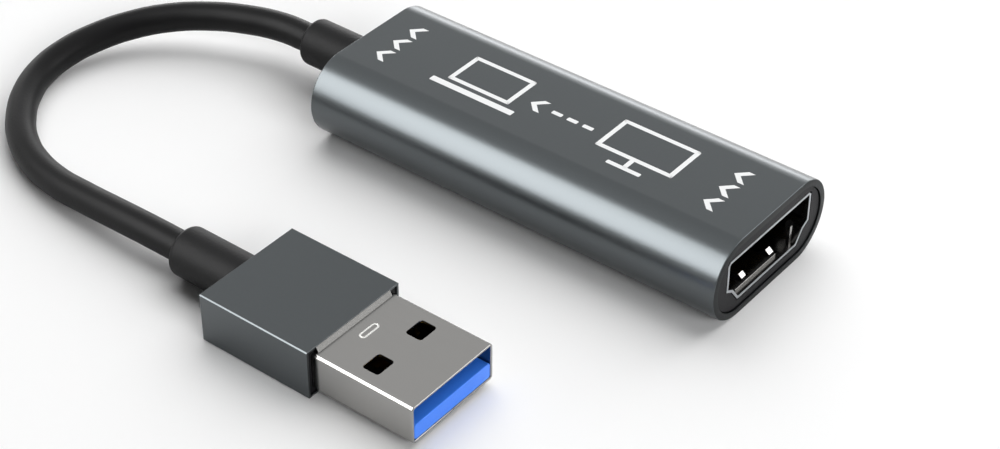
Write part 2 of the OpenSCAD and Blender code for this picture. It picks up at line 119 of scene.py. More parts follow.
def linear(code):
    """A linear colour with full alpha from an sRGB hex code."""
    shares = [int(code[i : i + 2], 16) / 255 for i in (1, 3, 5)]
    return [c / 12.92 if c <= 0.04045 else ((c + 0.055) / 1.055) ** 2.4 for c in shares] + [1.0]


def length(name, description, millimetres):
    """A length in the sidebar."""
    return FloatProperty(
        name=name, description=description, default=millimetres * MM, min=0, precision=5, unit="LENGTH"
    )


def tint(name, description, code):
    """A colour in the sidebar."""
    return FloatVectorProperty(
        name=name, description=description, default=linear(code), size=4, min=0, max=1, subtype="COLOR"
    )


def level(name, description, share):
    """A brightness in the sidebar."""
    return FloatProperty(name=name, description=description, default=share, min=0)


class CaptureBoxSizes(bpy.types.PropertyGroup):
    """Sizes of the modelled pieces"""

    casing_wall: length("Casing wall", "Wall of the extruded casing", 0.8)
    casing_rim: length("Casing rim", "Rounding of the outer edges of the casing's ends", 0.12)
    cap_edge: length("Cap edge", "Rounding of the end caps' front edges", 0.12)
    socket_width: length("Socket width", "Width of the socket's shell at its top", 15.2)
    socket_foot: length("Socket foot", "Width of the socket's shell at its foot", 10.9)
    socket_shoulder: length("Socket shoulder", "Width of the socket's shell below its shoulders", 13.2)
    socket_height: length("Socket height", "Height of the socket's shell", 5.8)
    socket_corner: length("Socket corner", "Rounding of the socket's upper corners", 0.35)
    shoulder_top: length("Shoulder top", "Height of the shoulders' upper edge over the socket's foot", 2.1)
    shoulder_foot: length("Shoulder foot", "Height of the shoulders' lower edge over the socket's foot", 1.55)
    bead_inset: length("Bead inset", "How far the bead and the post lie behind the socket's mouth", 0.55)
    bead_width: length("Bead width", "Width of the bead and the post along the socket", 0.3)
    bead_edge: length("Bead edge", "Rounding of the bead and the post", 0.05)
    sheet: length("Steel sheet", "Sheet that the socket and the plug are folded from", 0.3)
    sheet_edge: length("Sheet edge", "Rounding of the metal sheets' cut edges", 0.06)
    mouth_edge: length("Mouth edge", "Rounding of the plug shell's mouth", 0.12)
    cable: length("Cable", "Diameter of the cable", 3.4)
    boot: length("Strain relief", "Diameter of the strain reliefs", 5.5)
    boot_neck: length("Strain relief neck", "Diameter of the strain reliefs inside the walls", 4.4)
    boot_round: length("Strain relief rounding", "Rounding of the strain reliefs' cable end", 0.6)
    boot_shoulder: length("Strain relief shoulder", "Rounding of the edge that meets the wall", 0.15)
    boot_flange: length("Strain relief flange", "Thickness of the flange inside the box", 1.2)
    grip_wall: length("Grip wall", "Wall of the plug's aluminium sleeve", 0.3)
    grip_edge: length("Grip edge", "Chamfer of the sleeve's long edges", 0.11)
    plug_corner: length("Plug corner", "Rounding of the plug shell's long edges", 0.36)
    window_place: length("Window place", "From the grip's front to the middles of the lock windows", 5.8)
    window_spread: length("Window spread", "From the plug's middle to the middles of the lock windows", 3.15)
    window_length: length("Window length", "Size of the lock windows along the plug", 2.0)
    window_width: length("Window width", "Size of the lock windows across the plug", 2.5)
    window_corner: length("Window corner", "Rounding of the lock windows' corners", 0.35)
    mark_place: length("Mark place", "From the grip's front to the middle of the stamped mark", 1.95)
    mark_length: length("Mark length", "Size of the stamped mark across the plug", 2.54)
    mark_width: length("Mark width", "Size of the stamped mark along the plug", 0.84)
    mark_depth: length("Mark depth", "Depth of the stamped mark's groove", 0.05)
    mark_stroke: length("Mark stroke", "Width of the stamped mark's groove", 0.2)
    collar_width: length("Collar width", "Width of the slope between the plug's roof and the grip", 10.8)
    collar_length: length("Collar length", "Length of the slope along the plug", 0.3)
    collar_drop: length("Collar drop", "How far the slope starts below the grip's top", 0.12)
    tongue_edge: length("Tongue edge", "Rounding of the front edges of the plug's tongue", 0.08)
    # Behind this length the tongue is black, which is painted shade
    tongue_blue: length("Tongue blue", "Length of the blue front of the plug's tongue", 3.8)
    print_stroke: length("Print stroke", "Width of the printed lines", 0.55)
    print_corner: length("Print corner", "Rounding of the printed bars' corners", 0.12)
    print_depth: length("Print depth", "Thickness of the printed ink", 0.02)
    chevron: length("Chevron", "Height of the printed chevrons", 2.2)
    chevron_step: length("Chevron step", "From one printed chevron of a row to the next", 2.8)
    dash_length: length("Dash length", "Length of the printed arrow's dashes", 1.3)
    dash_step: length("Dash step", "From one dash of the printed arrow to the next", 2.0)
    screen_width: length("Screen width", "Width of the printed screen", 9.6)
    screen_height: length("Screen height", "Height of the printed screen", 5.6)
    post_height: length("Post height", "Height of the post under the printed screen", 1.4)
    foot_width: length("Foot width", "Width of the foot under the printed screen", 4.2)
    computer_width: length("Computer width", "Width of the printed computer", 8.2)
    computer_height: length("Computer height", "Height of the printed computer", 5.2)
    keyboard_width: length("Keyboard width", "Width of the printed keyboard", 11.0)
    keyboard_height: length("Keyboard height", "Height of the printed keyboard", 0.825)


class CaptureBoxColours(bpy.types.PropertyGroup):
    """Colours of the finishes"""

    aluminium: tint("Aluminium", "Dyed anodised layer of the casing and the grip", "#5b5f61")
    # The colour of the casing's end faces: the aluminium darkened as painted shade
    cut_end: tint("Cut end", "Sawn ends of the casing", "#303233")
    # On the rear of the plug's tongue this black is painted shade
    plastic: tint("Black plastic", "End caps, the plug's core and the rear of its tongue", "#18181a")
    socket_plastic: tint("Socket plastic", "Mouldings inside the socket", "#0c0c0d")
    jacket: tint("Cable jacket", "The cable's outer layer", "#0a0a0b")
    rubber: tint("Black rubber", "Strain reliefs", "#101011")
    nickel: tint("Nickel", "Plated steel of the socket and the plug", "#a09f9d")
    # The mark's near-white colour is a painted highlight on the nickel
    etched: tint("Etched nickel", "The mark on the plug's roof", "#f2f2f0")
    gold: tint("Gold", "Plated contacts", "#d9b45a")
    blue: tint("Blue plastic", "The plug's tongue", "#3a86ff")
    ink: tint("Ink", "Printed symbols", "#eceded")
    solder_mask: tint("Solder mask", "Coating of the circuit board", "#1f5a3c")
    moulding: tint("Chip moulding", "Packages on the board", "#1d1e20")
    tin: tint("Tin", "Leads, the crystal's can, drain wires, crimp ring and socket lip", "#b9bdc0")
    capacitor: tint("Capacitor", "Ceramic of the capacitors", "#a58a6a")
    resistor: tint("Resistor", "Coating of the resistors", "#303236")
    red_wire: tint("Red wire", "Insulation of the power wires", "#b02a24")
    white_wire: tint("White wire", "Insulation of the signal wires", "#e8e8e4")
    floor: tint("Floor", "Studio floor", "#fafafa")


class CaptureBoxStudio(bpy.types.PropertyGroup):
    """Camera and lamps"""

    azimuth: FloatProperty(
        name="Azimuth", description="Camera's turn from the long side",
        default=math.radians(37.83), unit="ROTATION",
    )
    elevation: FloatProperty(
        name="Elevation", description="Camera's height angle",
        default=math.radians(37.86), unit="ROTATION",
    )
    roll: FloatProperty(
        name="Roll", description="Camera's tilt about its own axis",
        default=math.radians(0.38), unit="ROTATION",
    )
    camera_at: FloatVectorProperty(
        name="Camera place", description="Where the camera stands", default=(0.1142, -0.1575, 0.1464),
        subtype="TRANSLATION", unit="LENGTH",
    )
    lens: FloatProperty(
        name="Lens", description="Focal length in millimetres on a 36 mm sensor", default=81.63, unit="CAMERA"
    )
    key: level("Key", "Brightness of the lamp behind, in parts of white", 2.2)
    fill: level("Fill", "Brightness of the lamp at the right, in parts of white", 8.5)
    front_softbox: level("Front softbox", "Brightness of the tall softbox, in parts of white", 6.6)
    side_softbox: level("Side softbox", "Brightness of the small softbox, in parts of white", 4.0)
    back_strip: level("Back strip", "Brightness of the strip behind, in parts of white", 4.2)
    shade: level("Room", "Brightness of the room on matt surfaces, in parts of white", 0.06)


def sizes():
    return bpy.context.scene.capture_box_sizes


def colours():
    return bpy.context.scene.capture_box_colours


# Materials


def node(tree, kind, inputs=None, **settings):
    """Adds a node with its settings. An input is a value, or the output that it is linked to."""
    made = tree.nodes.new(kind)
    for name, value in settings.items():
        setattr(made, name, value)
    for name, value in (inputs or {}).items():
        if isinstance(value, bpy.types.NodeSocket):
            tree.links.new(value, made.inputs[name])
        else:
            made.inputs[name].default_value = value
    return made


def per_metre(millimetres):
    """The texture scale that repeats a pattern after a real size."""
    return 1 / (millimetres * MM)


def scaled(colour, share):
    """A colour made lighter or darker."""
    return [c * share for c in colour[:3]] + [1.0]


def grained(name, colour, *, grain, roughness, bump, mottle, stretch=(1, 1, 1), **shader):
    """A material whose colour, roughness and bump follow one grain of a real size in millimetres.

    A grain that is too fine to show is drawn coarser, at 0.08 to 0.3 mm.
    """
    material = bpy.data.materials.new(name)
    material.use_nodes = True
    tree = material.node_tree
    tree.nodes.clear()
    place = node(tree, "ShaderNodeTexCoord").outputs["Object"]
    drawn = node(tree, "ShaderNodeMapping", {"Vector": place, "Scale": stretch}).outputs["Vector"]
    noise = node(tree, "ShaderNodeTexNoise", {"Vector": drawn, "Scale": per_metre(grain), "Detail": 4.0})
    height = noise.outputs["Fac"]
    ends = {0: height, 6: scaled(colour, 1 - mottle), 7: scaled(colour, 1 + mottle)}
    tone = node(tree, "ShaderNodeMix", ends, data_type="RGBA")
    span = {"Value": height, "To Min": roughness[0], "To Max": roughness[1]}
    rough = node(tree, "ShaderNodeMapRange", span)
    relief = node(tree, "ShaderNodeBump", {"Height": height, "Strength": bump, "Distance": grain * MM})
    inputs = {
        "Base Color": tone.outputs[2],
        "Roughness": rough.outputs["Result"],
        "Normal": relief.outputs["Normal"],
    }
    inputs.update({key.replace("_", " "): value for key, value in shader.items()})
    surface = node(tree, "ShaderNodeBsdfPrincipled", inputs)
    node(tree, "ShaderNodeOutputMaterial", {"Surface": surface.outputs["BSDF"]})
    return material


# Extruded aluminium, bead blasted and dyed: satin, so that lamps show as broad soft bands. The
# blasted pits are about 0.05 mm and are drawn at 0.3 mm, so that they show
def blasted_anodised_aluminium():
    return grained(
        "blasted_anodised_aluminium", colours().aluminium, grain=0.3, roughness=(0.27, 0.33),
        bump=0.02, mottle=0.03, Metallic=1.0,
    )


# The same aluminium on the casing's ends, darker as painted shade, and duller, with a saw blade's short
# scratches
def shaded_end_aluminium():
    return grained(
        "shaded_end_aluminium", colours().cut_end, grain=0.25, roughness=(0.42, 0.52),
        bump=0.04, mottle=0.06, stretch=(1, 1, 0.2), Metallic=1.0,
    )


# ABS moulded against a spark-eroded tool: nearly black, with a dull even sheen
def moulded_abs():
    return grained(
        "moulded_abs", colours().plastic, grain=0.2, roughness=(0.42, 0.54),
        bump=0.12, mottle=0.12, IOR=1.54, Specular_IOR_Level=0.14,
    )


# Glass-filled polyester in black: deep and flat, so that the metal round it stands out
def black_polyester():
    return grained(
        "black_polyester", colours().socket_plastic, grain=0.2, roughness=(0.55, 0.65),
        bump=0.06, mottle=0.1, IOR=1.57, Specular_IOR_Level=0.15,
    )


# Extruded vinyl jacket: black and even, with a low sheen
def vinyl_jacket():
    return grained(
        "vinyl_jacket", colours().jacket, grain=0.25, roughness=(0.42, 0.52),
        bump=0.08, mottle=0.1, IOR=1.53, Specular_IOR_Level=0.17,
    )


# Thermoplastic rubber: matt black, with a soft grey sheen along its upper side
def moulded_rubber():
    return grained(
        "moulded_rubber", colours().rubber, grain=0.25, roughness=(0.48, 0.58),
        bump=0.1, mottle=0.1, IOR=1.52, Specular_IOR_Level=0.2,
    )


# Nickel plate on cold-rolled sheet: bright, with faint lines along the rolling direction
def nickel_plate():
    return grained(
        "nickel_plate", colours().nickel, grain=0.2, roughness=(0.16, 0.24),
        bump=0.01, mottle=0.03, stretch=(0.05, 1, 1), Metallic=1.0,
    )


# Nickel frosted by the marking laser: matt, with a painted highlight in its near-white colour, so that the
# mark stands out on the bright roof
def etched_nickel_highlight():
    return grained(
        "etched_nickel_highlight", colours().etched, grain=0.1, roughness=(0.55, 0.7),
        bump=0.05, mottle=0.04, Metallic=1.0,
    )


# Gold flash over nickel on the contacts: warm and bright, with the stamping's fine lines
def gold_flash():
    return grained(
        "gold_flash", colours().gold, grain=0.15, roughness=(0.2, 0.28),
        bump=0.02, mottle=0.04, stretch=(0.1, 1, 1), Metallic=1.0,
    )


# Glass-filled polyester in clear blue: even colour with the low gloss of a filled plastic
def blue_polyester():
    return grained(
        "blue_polyester", colours().blue, grain=0.2, roughness=(0.36, 0.46),
        bump=0.04, mottle=0.05, IOR=1.57,
    )


# Screen-printed white ink: flat and slightly chalky, with the mesh's texture
def screen_ink():
    return grained(
        "screen_ink", colours().ink, grain=0.12, roughness=(0.5, 0.6),
        bump=0.05, mottle=0.03, IOR=1.5,
    )


# Solder mask on glass laminate: glossy green that shows the cloth's threads below
def solder_mask():
    return grained(
        "solder_mask", colours().solder_mask, grain=0.5, roughness=(0.22, 0.3),
        bump=0.05, mottle=0.15, IOR=1.55,
    )


# Moulded epoxy: dark grey with the fine matt texture of its mould
def moulded_epoxy():
    return grained(
        "moulded_epoxy", colours().moulding, grain=0.1, roughness=(0.55, 0.7),
        bump=0.1, mottle=0.15, IOR=1.58,
    )


# Tinned metal: pale and soft-edged, as dipped
def dipped_tin():
    return grained(
        "dipped_tin", colours().tin, grain=0.3, roughness=(0.3, 0.45),
        bump=0.05, mottle=0.06, Metallic=1.0,
    )


# Barium titanate: fired tan ceramic with a dry speckle
def fired_ceramic():
    return grained(
        "fired_ceramic", colours().capacitor, grain=0.08, roughness=(0.5, 0.65),
        bump=0.1, mottle=0.15, IOR=1.7,
    )


# Glass-coated thick film: near-black and slightly glossy
def glazed_film():
    return grained(
        "glazed_film", colours().resistor, grain=0.1, roughness=(0.25, 0.35),
        bump=0.05, mottle=0.15, IOR=1.5,
    )


# Extruded vinyl in red: an even, clear colour with a soft sheen
def red_vinyl():
    return grained(
        "red_vinyl", colours().red_wire, grain=0.15, roughness=(0.35, 0.45),
        bump=0.04, mottle=0.06, IOR=1.53,
    )


# Extruded vinyl in white: bright and even, with a soft sheen
def white_vinyl():
    return grained(
        "white_vinyl", colours().white_wire, grain=0.15, roughness=(0.35, 0.45),
        bump=0.04, mottle=0.05, IOR=1.53,
    )


def shared(build):
    """The material that a function builds, made once."""
    return bpy.data.materials.get(build.__name__) or build()


def dress(build, *names):
    """Gives CAD nodes their finish. Their shapes stay as they are."""
    for name in names:
        mesh = NODES[name].data
        mesh.materials.clear()
        mesh.materials.append(shared(build))


# Modelling


def start(add, **settings):
    """Adds a primitive with nothing else selected, and opens it in edit mode."""
    bpy.ops.object.select_all(action="DESELECT")
    add(**settings)
    bpy.ops.object.transform_apply(location=True, rotation=True, scale=True)
    bpy.ops.object.mode_set(mode="EDIT")
    return bpy.context.object


def pick(kind, test):
    """Selects, in edit mode, only the vertices, edges or faces that pass a test."""
    bpy.ops.mesh.select_mode(type=kind)
    bpy.ops.mesh.select_all(action="DESELECT")
    mesh = bpy.context.object.data
    shape = bmesh.from_edit_mesh(mesh)
    parts = {"VERT": shape.verts, "EDGE": shape.edges, "FACE": shape.faces}[kind]
    found = [part for part in parts if test(part)]
    if not found:
        raise RuntimeError(f"nothing to pick on {bpy.context.object.name}")
    for part in found:
        part.select_set(True)
    shape.select_flush_mode()
    bmesh.update_edit_mesh(mesh)


def near(value, *places):
    """Whether a coordinate lies at one of these places."""
    return any(abs(value - place) < FIT_GAP / 2 for place in places)


def inside(face, low, high):
    """Whether a face's middle lies between two corners."""
    at = face.calc_center_median()
    return all(low[i] - MERGE < at[i] < high[i] + MERGE for i in range(3))


def middle_of(edge):
    return (edge.verts[0].co + edge.verts[1].co) / 2


def sharp(edge):
    return edge.calc_face_angle(0) > CREASE


def along(edge, axis):
    """Whether an edge runs along an axis, 0 to 2."""
    line = edge.verts[1].co - edge.verts[0].co
    return abs(line[axis]) > ALIGNED * line.length


def round_edges(test, radius, segments=3):
    pick("EDGE", test)
    bpy.ops.mesh.bevel(offset=radius, segments=segments, affect="EDGES")


def block(low, high):
    """A box between two corners, open in edit mode."""
    return start(bpy.ops.mesh.primitive_cube_add, size=1, location=(low + high) / 2, scale=high - low)


def stadium_bar(low, high):
    """A bar along X with full-round sides between two corners, open in edit mode."""
    size = high - low
    centre = (low + high) / 2
    radius = size.z / 2 / math.cos(math.pi / ROUND_SIDES)
    piece = start(
        bpy.ops.mesh.primitive_cylinder_add,
        vertices=ROUND_SIDES,
        radius=radius,
        depth=size.x,
        location=centre,
        rotation=(0, math.pi / 2, 0),
    )
    for side in (-1, 1):
        pick("VERT", lambda vert: side * (vert.co.y - centre.y) > 0)
        bpy.ops.transform.translate(value=(0, side * (size.y / 2 - radius), 0))
    return piece


def hollow(wall):
    """Makes a closed bar along X a tube: its end faces are inset by the wall and joined."""
    pick("FACE", lambda face: abs(face.normal.x) > ALIGNED)
    bpy.ops.mesh.inset(thickness=wall)
    bpy.ops.mesh.bridge_edge_loops()
    bpy.ops.mesh.select_all(action="SELECT")
    bpy.ops.mesh.normals_make_consistent(inside=False)


def cut(piece, cutter, operation="DIFFERENCE"):
    """Cuts one object from another, and removes the cutter."""
    bpy.ops.object.mode_set(mode="OBJECT")
    bpy.context.view_layer.objects.active = piece
    bpy.ops.object.modifier_add(type="BOOLEAN")
    modifier = piece.modifiers[-1]
    modifier.object = cutter
    modifier.operation = operation
    modifier.solver = "EXACT"
    bpy.ops.object.modifier_apply(modifier=modifier.name)
    bpy.data.objects.remove(cutter)


def soften(piece, radius, segments=2):
    """Rounds every sharp edge that is left."""
    bpy.context.view_layer.objects.active = piece
    bpy.ops.object.modifier_add(type="BEVEL")
    modifier = piece.modifiers[-1]
    modifier.width = radius
    modifier.segments = segments
    modifier.limit_method = "ANGLE"
    modifier.angle_limit = CREASE
    bpy.ops.object.modifier_apply(modifier=modifier.name)


def close_piece(piece, name, build, slot, *replaced):
    """Cleans a modelled piece, smooths and names it, and puts it in the place of its CAD nodes."""
    bpy.context.view_layer.objects.active = piece
    bpy.ops.object.mode_set(mode="EDIT")
    bpy.ops.mesh.select_all(action="SELECT")
    bpy.ops.mesh.remove_doubles(threshold=MERGE)
    bpy.ops.mesh.normals_make_consistent(inside=False)
    bpy.ops.object.mode_set(mode="OBJECT")
    bpy.ops.object.select_all(action="DESELECT")
    piece.select_set(True)
    bpy.ops.object.shade_smooth_by_angle(angle=CREASE)
    bpy.ops.object.modifier_add(type="WEIGHTED_NORMAL")
    piece.modifiers[-1].keep_sharp = True
    bpy.ops.object.modifier_apply(modifier=piece.modifiers[-1].name)
    piece.name = name
    piece.data.name = name
    piece.data.materials.append(shared(build))
    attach(piece, "root")
    if replaced:
        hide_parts(*replaced)
    return piece


def refinish(piece, build, test):
    """Gives some faces of a closed piece another finish."""
    bpy.context.view_layer.objects.active = piece
    bpy.ops.object.material_slot_add()
    piece.material_slots[-1].material = shared(build)
    bpy.ops.object.mode_set(mode="EDIT")
    pick("FACE", test)
    bpy.ops.object.material_slot_assign()
    bpy.ops.object.mode_set(mode="OBJECT")


def copy_of(name):
    """A copy of a CAD node's mesh with its loose triangles merged, open in edit mode."""
    bpy.ops.object.select_all(action="DESELECT")
    piece = bpy.data.objects.new(name + "_copy", NODES[name].data.copy())
    bpy.context.collection.objects.link(piece)
    bpy.context.view_layer.objects.active = piece
    piece.select_set(True)
    piece.data.materials.clear()
    bpy.ops.object.mode_set(mode="EDIT")
    bpy.ops.mesh.select_all(action="SELECT")
    bpy.ops.mesh.customdata_custom_splitnormals_clear()
    bpy.ops.mesh.remove_doubles(threshold=CAD_MERGE)
    bpy.ops.mesh.dissolve_limited(angle_limit=CAD_FLAT)
    return piece


def socket_centre():
    """The middle of the socket's tongue, which is the middle of its shell's height too."""
    low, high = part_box("video_socket_tongue")
    return (low + high) / 2


def socket_bar(grow, depth):
    """A bar with the socket's outline, wide above and with shoulders, open in edit mode."""
    size = sizes()
    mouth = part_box("video_socket_shell")[1].x
    centre = socket_centre()
    foot = centre.z - size.socket_height / 2
    half = Vector((0, size.socket_width / 2 + grow, size.socket_height / 2 + grow))
    at = Vector((mouth, 0, centre.z))
    piece = block(at - half - Vector((depth, 0, 0)), at + half + Vector((2 * grow, 0, 0)))
    for height in (size.shoulder_top, size.shoulder_foot):
        bpy.ops.mesh.select_all(action="SELECT")
        bpy.ops.mesh.bisect(plane_co=(0, 0, foot + height), plane_no=(0, 0, 1))
    widths = ((foot + size.shoulder_foot, size.socket_shoulder), (foot - grow, size.socket_foot))
    for row, width in widths:
        pick("VERT", lambda vert: near(vert.co.z, row))
        share = (width / 2 + grow) / half.y
        bpy.ops.transform.resize(value=(1, share, 1), center_override=(0, 0, row))
    top = at.z + half.z
    round_edges(lambda edge: along(edge, 0) and middle_of(edge).z > top - FIT_GAP, size.socket_corner, 4)
    return piece


# Pieces


class CAPTUREBOX_OT_stage(bpy.types.Operator):
    """Sets the camera, the lamps, the pale floor and the room's light"""

    bl_idname = "capture_box.stage"
    bl_label = "Stage"

    def execute(self, context):
        studio = context.scene.capture_box_studio
        context.scene.view_settings.view_transform = "Standard"
        self.camera(context, studio)
        # The key stands behind and above the box, so that shadows fall to the front
        self.softbox(
            "key", studio.key, towards=(-0.2, 0.62, 0.76), distance=1.0, size=(1.7, 1.7), metal=False
        )
        # A fill at the right reaches into the plug's mouth
        self.softbox(
            "fill", studio.fill, towards=(0.9, -0.3, 0.5), distance=1.0, size=(0.6, 0.3), metal=False
        )
        # A tall softbox at the front shows as the pale band along the casing's near side
        self.softbox(
            "front_softbox", studio.front_softbox, towards=(-0.484, -0.65, 0.586), distance=0.8,
            size=(0.5, 0.72), roll=math.radians(40), matt=False,
        )
        # A small one at the right shows in the spring fingers, the stamped mark and the collar
        self.softbox(
            "side_softbox", studio.side_softbox, towards=(0.68, 0.62, 0.39), distance=1.0,
            size=(0.4, 0.4), matt=False,
        )
        # A long strip behind shows along the far edge
        self.softbox(
            "back_strip", studio.back_strip, towards=(-0.49, 0.868, 0.085), distance=1.2,
            size=(1.8, 0.36), matt=False,
        )
        self.floor()
        self.room(context, studio)
        return {"FINISHED"}

    def camera(self, context, studio):
        """Sets the camera where the photograph was taken from."""
        turn, tilt = studio.azimuth, studio.elevation
        back = Vector((math.sin(turn) * math.cos(tilt), -math.cos(turn) * math.cos(tilt), math.sin(tilt)))
        right = Vector((math.cos(turn), math.sin(turn), 0))
        pose = Matrix((right, back.cross(right), back)).transposed() @ Matrix.Rotation(studio.roll, 3, "Z")
        bpy.ops.object.camera_add(location=studio.camera_at, rotation=pose.to_euler())
        camera = context.object
        camera.data.lens = studio.lens
        camera.data.clip_start = 10 * MM
        context.scene.camera = camera

    def softbox(self, name, brightness, *, towards, distance, size, roll=0, matt=True, metal=True):
        """Hangs a lamp that faces the box, and says whether matt surfaces and reflections see it.

        A brightness of 1 shows as white in a mirror.
        """
        towards = Vector(towards).normalized()
        turn = (towards.to_track_quat("Z", "Y").to_matrix() @ Matrix.Rotation(roll, 3, "Z")).to_euler()
        bpy.ops.object.light_add(type="AREA", location=towards * distance, rotation=turn)
        lamp = bpy.context.object
        lamp.name = name
        lamp.data.shape = "RECTANGLE"
        lamp.data.size, lamp.data.size_y = size
        lamp.data.energy = brightness * math.pi * size[0] * size[1]
        lamp.visible_diffuse = matt
        lamp.visible_glossy = metal

    def floor(self):
        """Lays the pale floor."""
        bpy.ops.object.select_all(action="DESELECT")
        bpy.ops.mesh.primitive_plane_add(size=FLOOR_SIDE)
        floor = bpy.context.object
        floor.name = "floor"
        material = bpy.data.materials.new("pale_floor")
        material.use_nodes = True
        tree = material.node_tree
        tree.nodes.clear()
        matt = node(tree, "ShaderNodeBsdfDiffuse", {"Color": colours().floor})
        node(tree, "ShaderNodeOutputMaterial", {"Surface": matt.outputs["BSDF"]})
        floor.data.materials.append(material)

    def room(self, context, studio):
        """A white room that is dim in front, and that lights matt surfaces less than it shows."""
        world = bpy.data.worlds.new("studio")
        context.scene.world = world
        world.use_nodes = True
        tree = world.node_tree
        tree.nodes.clear()
        direction = node(tree, "ShaderNodeTexCoord").outputs["Generated"]
        parts = node(tree, "ShaderNodeSeparateXYZ", {"Vector": direction})
        share = node(tree, "ShaderNodeMapRange", {"Value": parts.outputs["Y"], "From Min": -1.0})
        ramp = node(tree, "ShaderNodeValToRGB", {"Fac": share.outputs["Result"]})
        stops = ramp.color_ramp.elements
        for place, grey in ROOM_GREYS:
            stop = stops[0] if place == 0 else stops.new(place)
            stop.color = (grey, grey, grey, 1)
        stops.remove(stops[-1])
        lighting = node(tree, "ShaderNodeBackground", {"Color": WHITE, "Strength": studio.shade})
        shown = node(tree, "ShaderNodeBackground", {"Color": ramp.outputs["Color"]})
        path = node(tree, "ShaderNodeLightPath").outputs
        rays = {0: path["Is Glossy Ray"], 1: path["Is Transmission Ray"]}
        mirrored = node(tree, "ShaderNodeMath", rays, operation="MAXIMUM").outputs[0]
        by_surface = {0: mirrored, 1: lighting.outputs[0], 2: shown.outputs[0]}
        around = node(tree, "ShaderNodeMixShader", by_surface)
        white = node(tree, "ShaderNodeBackground", {"Color": WHITE})
        by_view = {0: path["Is Camera Ray"], 1: around.outputs[0], 2: white.outputs[0]}
        whole = node(tree, "ShaderNodeMixShader", by_view)
        node(tree, "ShaderNodeOutputWorld", {"Surface": whole.outputs[0]})


class CAPTUREBOX_OT_cable(bpy.types.Operator):
    """Lays the cable along its route"""

    bl_idname = "capture_box.cable"
    bl_label = "Cable"

    def execute(self, context):
        line = bpy.data.curves.new("cable", "CURVE")
        line.dimensions = "3D"
        line.bevel_depth = sizes().cable / 2
        line.bevel_resolution = CABLE_STEPS
        line.resolution_u = CABLE_STEPS
        line.use_fill_caps = True
        spline = line.splines.new("BEZIER")
        spline.bezier_points.add(len(CABLE_ROUTE) - 1)
        for point, at in zip(spline.bezier_points, CABLE_ROUTE):
            point.co = Vector(at) * MM
            point.handle_left_type = point.handle_right_type = "AUTO"
        cable = bpy.data.objects.new("cable", line)
        context.collection.objects.link(cable)
        line.materials.append(shared(vinyl_jacket))
        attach(cable, "root")
        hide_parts("data_cable")
        return {"FINISHED"}


class CAPTUREBOX_OT_strain_reliefs(bpy.types.Operator):
    """Models the moulded sleeves at the cable's two ends"""

    bl_idname = "capture_box.strain_reliefs"
    bl_label = "Strain reliefs"

    def execute(self, context):
        casing_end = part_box("body_shell")[0].x
        grip_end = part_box("plug_grip")[0].x
        dress(vinyl_jacket, "box_cable_end", "plug_cable_end")
        self.sleeve("box_boot", "box_strain_relief", casing_end, sizes().boot_flange)
        self.sleeve("plug_boot", "plug_strain_relief", grip_end, 0)
        return {"FINISHED"}

    def sleeve(self, name, replaced, shoulder, flange):
        """Models a round sleeve whose neck goes through a wall, to a flange if it has one."""
        size = sizes()
        low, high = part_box(replaced)
        centre = (low + high) / 2
        piece = start(
            bpy.ops.mesh.primitive_cylinder_add,
            vertices=SLEEVE_SIDES,
            radius=size.boot / 2,
            depth=shoulder - low.x,
            location=((low.x + shoulder) / 2, centre.y, centre.z),
            rotation=(0, math.pi / 2, 0),
        )
        bore = size.cable / 2 + FIT_GAP
        end_radius = size.boot_neck / 2
        pick("FACE", lambda face: face.normal.x > ALIGNED)
        bpy.ops.mesh.inset(thickness=size.boot / 2 - end_radius)
        bpy.ops.mesh.extrude_region_move(TRANSFORM_OT_translate={"value": (high.x - flange - shoulder, 0, 0)})
        if flange:
            end_radius = (high.z - low.z) / 2
            share = end_radius / (size.boot_neck / 2)
            bpy.ops.mesh.extrude_region_move(TRANSFORM_OT_translate={"value": (0, 0, 0)})
            bpy.ops.transform.resize(value=(1, share, share), center_override=(high.x, centre.y, centre.z))
            bpy.ops.mesh.extrude_region_move(TRANSFORM_OT_translate={"value": (flange, 0, 0)})
        bpy.ops.mesh.inset(thickness=end_radius - bore)
        pick("FACE", lambda face: near(face.calc_center_median().x, low.x))
        bpy.ops.mesh.inset(thickness=size.boot / 2 - bore)
        pick("FACE", lambda face: len(face.verts) > 4 and near(face.calc_center_median().x, low.x, high.x))
        bpy.ops.mesh.bridge_edge_loops()
        bpy.ops.mesh.select_all(action="SELECT")
        bpy.ops.mesh.normals_make_consistent(inside=False)

        def outer(edge, x):
            at = middle_of(edge) - centre
            return sharp(edge) and near(at.x + centre.x, x) and at.yz.length > size.boot / 2 - FIT_GAP

        round_edges(lambda edge: outer(edge, low.x), size.boot_round, 8)
        round_edges(lambda edge: outer(edge, shoulder), size.boot_shoulder)
        close_piece(piece, name, moulded_rubber, "black_rubber", replaced)


